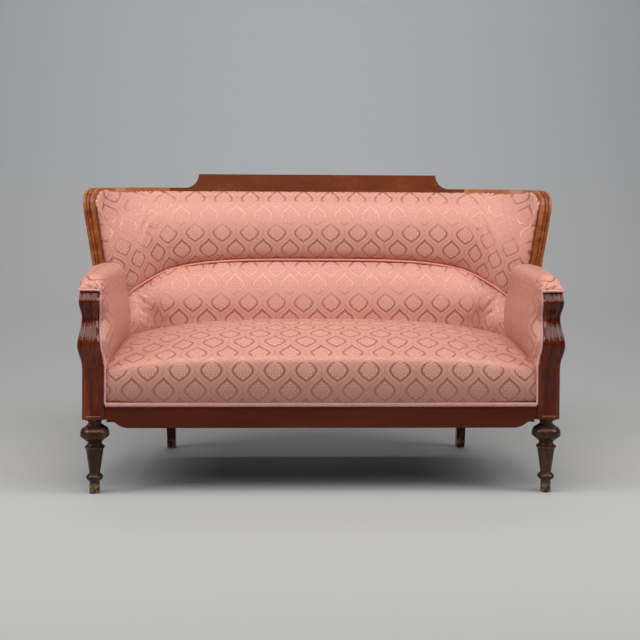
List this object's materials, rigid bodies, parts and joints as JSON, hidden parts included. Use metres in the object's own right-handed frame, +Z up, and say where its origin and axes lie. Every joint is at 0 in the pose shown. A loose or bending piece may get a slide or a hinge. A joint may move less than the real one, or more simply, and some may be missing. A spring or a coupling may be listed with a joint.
{
  "type": "settee",
  "caption": "Upholstered settee with a raked horseshoe back, fluted scroll arm posts, turned front legs, a raised crest tablet and sprung seat.",
  "frame": {"origin": "on the floor under the middle of the settee's outer box", "axes": "+X along the settee to a viewer's right, +Y towards its back, +Z up; it faces -Y"},
  "size_m": [1.6704, 0.7248, 1],
  "materials": {
    "mahogany": "polished red-brown",
    "dark_mahogany": "dark polished",
    "crest_mahogany": "polished, lighter",
    "frame_beech": "sawn, unfinished",
    "steel": "drawn wire",
    "jute": "woven strap",
    "hessian": "open plain weave",
    "black_cotton": "plain weave",
    "damask": "satin damask",
    "piping": "covered cord",
    "braid": "looped gimp"
  },
  "bodies": {
    "root": {"front_rail": "mahogany", "front_post_left": "mahogany", "front_post_right": "mahogany", "front_leg_left": "dark_mahogany", "front_leg_right": "dark_mahogany", "rear_leg_left": "dark_mahogany", "rear_leg_right": "dark_mahogany", "crest_rail": "crest_mahogany", "capping_left": "crest_mahogany", "capping_right": "crest_mahogany", "side_rail_left": "frame_beech", "side_rail_right": "frame_beech", "seat_corner_rail_left": "frame_beech", "seat_corner_rail_right": "frame_beech", "rear_rail": "frame_beech", "front_batten": "frame_beech", "corner_block_left": "frame_beech", "corner_block_right": "frame_beech", "rail_dowels": "frame_beech", "block_screws": "steel", "seat_springs": "steel", "seat_webbing": "jute", "cross_webbing": "jute", "back_webbing": "jute", "dust_cover": "black_cotton", "seat_hessian": "hessian", "back_hessian": "hessian", "arm_hessian_left": "hessian", "arm_hessian_right": "hessian", "seat_pad": "damask", "arm_pad_left": "damask", "arm_pad_right": "damask", "lumbar_roll": "damask", "upper_back_pad": "damask", "outside_back_cover": "damask", "outside_arm_cover_left": "damask", "outside_arm_cover_right": "damask", "lumbar_piping": "piping", "seat_braid": "braid", "post_braid_left": "braid", "post_braid_right": "braid", "back_upright_left": "frame_beech", "back_upright_right": "frame_beech", "back_upright_middle": "frame_beech", "back_lower_rail": "frame_beech", "back_corner_rail_left": "frame_beech", "back_corner_rail_right": "frame_beech", "wing_post_left": "frame_beech", "wing_post_right": "frame_beech", "arm_rail_left": "frame_beech", "arm_rail_right": "frame_beech"}
  },
  "joints": []
}
